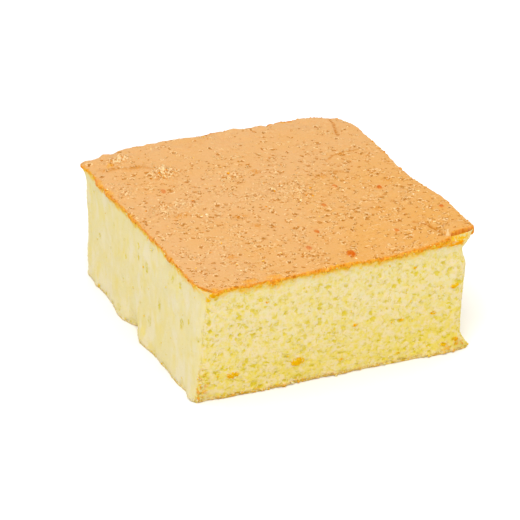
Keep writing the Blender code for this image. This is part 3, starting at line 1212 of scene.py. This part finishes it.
def scattered_grains_tree():
    sizes = ("Per square mm", "Smallest", "Largest", "Flatness")
    recipe, given, end = new_tree("scattered grains", sizes, words=("Where",))
    inputs = {"Name": given["Where"]}
    where = recipe.node("GeometryNodeInputNamedAttribute", inputs, data_type="FLOAT").outputs[0]
    density = recipe.product(where, given["Per square mm"], 1 / MM ** 2)
    inputs = {"Mesh": given["Geometry"], "Density": density, "Seed": SEEDS["place"]}
    points = recipe.node("GeometryNodeDistributePointsOnFaces", inputs).outputs
    cube = recipe.node("GeometryNodeMeshCube").outputs[0]
    block = recipe.node("GeometryNodeSubdivisionSurface", {"Mesh": cube, "Level": 1}).outputs[0]
    inputs = {"Seed": SEEDS["size"]}
    lot = recipe.node("FunctionNodeRandomValue", inputs, data_type="FLOAT").outputs[1]
    spread = recipe.math("SUBTRACT", given["Largest"], given["Smallest"])
    lot = recipe.math("POWER", lot, FEW_LARGE)
    size = recipe.line(spread, lot, given["Smallest"])
    scale = recipe.scaled(recipe.joined(1.0, 0.75, given["Flatness"]), size)
    inputs = {"Points": points["Points"], "Instance": block, "Rotation": points["Rotation"], "Scale": scale}
    grains = recipe.node("GeometryNodeInstanceOnPoints", inputs).outputs[0]
    tilt = recipe.node("FunctionNodeRandomValue", {
        0: (-GRAIN_TILT, -GRAIN_TILT, 0.0),
        1: (GRAIN_TILT, GRAIN_TILT, math.tau),
        "Seed": SEEDS["tilt"],
    }, data_type="FLOAT_VECTOR").outputs[0]
    grains = recipe.node("GeometryNodeRotateInstances", {"Instances": grains, "Rotation": tilt}).outputs[0]
    grains = recipe.node("GeometryNodeRealizeInstances", {0: grains}).outputs[0]
    place = recipe.node("GeometryNodeInputPosition").outputs[0]
    target = recipe.above_base(recipe.wander(place, 0.6 * MM, 0.16 * MM))
    recipe.finish(recipe.moved(grains, Position=target), given, end)
    return recipe.tree


scattered_grains = scattered_grains_tree()
print("tree", scattered_grains.name, "has", len(scattered_grains.nodes), "nodes")

# %% [markdown]
# ## The loose bits' colour
# No two crumbs are quite the same colour. A noise whose patches are about as large as a
# crumb picks between three colours, so most bits get one of their own.

# %% Material: loose bits
DRY_FLAKE = srgb(250, 228, 186)


def grain_material(name, low, middle, high):
    material, recipe, shader = new_material(name)
    place = recipe.node("ShaderNodeTexCoord").outputs["Object"]
    lot = recipe.noise(place, 1.3 * MM, 2.0, 0.6)
    middle_share = recipe.ramp(lot, 0.4, 0.5)
    colour = recipe.painted(low, (middle_share, middle), (recipe.ramp(lot, 0.52, 0.62), high))
    dress(recipe, shader, colour, recipe.noise(place, 0.3 * MM), (0.3, 0.1), {
        "Roughness": 0.8,
        "Specular IOR Level": 0.15,
        "Subsurface Weight": 0.15,
        "Subsurface Radius": (1.0, 0.7, 0.3),
        "Subsurface Scale": 0.4 * MM,
    })
    return material


crumbs_look = grain_material("loose crumbs", TOASTED, YELLOW, CREAM)
toast_look = grain_material("toasted scraps", BROWN, CUT_ORANGE, CUT_LIGHT)
flake_look = grain_material("dry flakes", CUT_LIGHT, FLAKE_AND_HIGHLIGHT_CREAM, DRY_FLAKE)
print("materials", crumbs_look.name, toast_look.name, flake_look.name)

# %% Pieces: loose bits


def make_grains(name, bearer, look, **sizes):
    """Grains over a copy of a finished piece, of which the tree keeps only the grains."""
    thing = bpy.data.objects.new(name, bearer.data.copy())
    bpy.context.scene.collection.objects.link(thing)
    run_tree(thing, scattered_grains, **sizes, Look=look)
    return settled(thing, name, MOST_TRIANGLES)


loose_crumbs = make_grains("loose_crumbs", crumb, crumbs_look, **{
    "Where": "catches crumbs",
    "Per square mm": 0.35,
    "Smallest": 0.35 * MM,
    "Largest": 1.5 * MM,
    "Flatness": 0.7,
})
toasted_scraps = make_grains("toasted_scraps", skin, toast_look, **{
    "Where": "catches toast",
    "Per square mm": 1.2,
    "Smallest": 0.35 * MM,
    "Largest": 1.6 * MM,
    "Flatness": 0.5,
})
dry_flakes = make_grains("dry_flakes", skin, flake_look, **{
    "Where": "catches flakes",
    "Per square mm": 0.12,
    "Smallest": 0.3 * MM,
    "Largest": 1.5 * MM,
    "Flatness": 0.3,
})

# %% [markdown]
# ## Put the pieces on the frame
# Each piece rides on the part's one body. The crumb and the skin stand for the solid,
# and the loose bits lie on them.

# %% Frame calls
SLOTS = {
    crumb: "crumb",
    skin: "browned_skin",
    loose_crumbs: "crumb",
    toasted_scraps: "browned_skin",
    dry_flakes: "browned_skin",
}
for piece, slot in SLOTS.items():
    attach(piece, "root")
for piece in (crumb, skin):
    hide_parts("cheesecake")
print("pieces:", [piece.name for piece in SLOTS])
